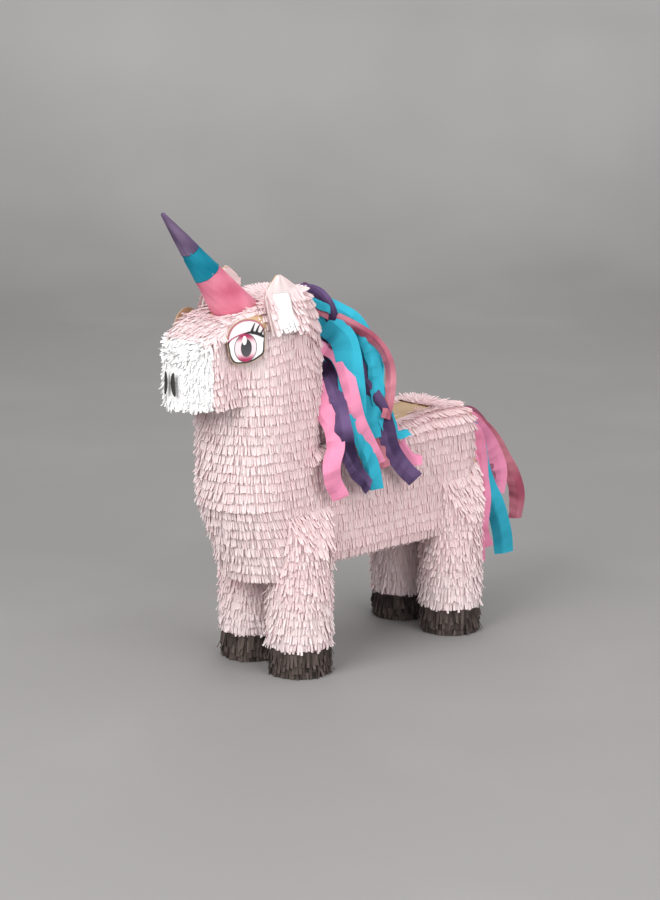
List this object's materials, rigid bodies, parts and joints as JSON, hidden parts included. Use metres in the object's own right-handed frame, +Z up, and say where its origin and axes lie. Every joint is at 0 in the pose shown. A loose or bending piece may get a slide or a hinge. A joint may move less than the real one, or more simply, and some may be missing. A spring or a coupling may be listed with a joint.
{
  "type": "pinata",
  "caption": "Standing unicorn pinata with a hollow card shell, fold-open fill door, tissue fringe, card horn and ears, paper ribbon mane and tail.",
  "frame": {"origin": "centre of the footprint of the whole object, on the surface that the hooves rest on", "axes": "+Z up, -Y the way the unicorn faces, +X to the unicorn's left"},
  "size_m": [0.1634, 0.5562, 0.5287],
  "materials": {
    "card": "kraft liner on single-wall corrugated card",
    "pink_tissue": "pale pink tissue paper, cut into fringe",
    "white_tissue": "white tissue paper",
    "black_tissue": "charcoal tissue paper, cut into fringe",
    "black_card": "black paper cut-out",
    "printed_card": "printed coated card",
    "rose_tissue": "rose pink tissue paper",
    "teal_tissue": "teal tissue paper",
    "purple_tissue": "purple tissue paper"
  },
  "bodies": {
    "shell": {"neck_tube": "card", "crown_cap": "card", "chest_bowl": "card", "snout_wrap": "card", "chin_plate": "card", "nose_bridge": "card", "flank_left": "card", "flank_right": "card", "back_panel": "card", "belly_panel": "card", "rump_panel": "card", "leg_front_left": "card", "leg_front_right": "card", "leg_hind_left": "card", "leg_hind_right": "card", "leg_caps": "card", "sole_front_left": "black_tissue", "sole_front_right": "black_tissue", "sole_hind_left": "black_tissue", "sole_hind_right": "black_tissue", "neck_fringe": "pink_tissue", "head_fringe": "pink_tissue", "muzzle_fringe": "white_tissue", "barrel_fringe": "pink_tissue", "rump_fringe": "pink_tissue", "leg_fringe_front_left": "pink_tissue", "leg_fringe_front_right": "pink_tissue", "leg_fringe_hind_left": "pink_tissue", "leg_fringe_hind_right": "pink_tissue", "hoof_fringe_front_left": "black_tissue", "hoof_fringe_front_right": "black_tissue", "hoof_fringe_hind_left": "black_tissue", "hoof_fringe_hind_right": "black_tissue", "horn_cone": "card", "horn_wrap_pink": "rose_tissue", "horn_wrap_teal": "teal_tissue", "horn_wrap_purple": "purple_tissue", "ear_card_left": "card", "ear_card_right": "card", "ear_paper_left": "pink_tissue", "ear_paper_right": "pink_tissue", "ear_lining_left": "white_tissue", "ear_lining_right": "white_tissue", "eye_left": "printed_card", "eye_right": "printed_card", "nostrils": "black_card", "mane_strip": "pink_tissue", "mane_teal": "teal_tissue", "mane_purple": "purple_tissue", "mane_pink": "rose_tissue", "tail_tab": "pink_tissue", "tail_teal": "teal_tissue", "tail_pink": "pink_tissue", "tail_rose": "rose_tissue"},
    "door": {"fill_door": "card", "door_fringe": "pink_tissue"}
  },
  "joints": [
    {"name": "door_fold", "type": "hinge", "parent": "shell", "child": "door", "pos_m": [0, 0.1, 0.2694], "axis": [-1, 0, 0], "range_deg": [0, 110]}
  ]
}
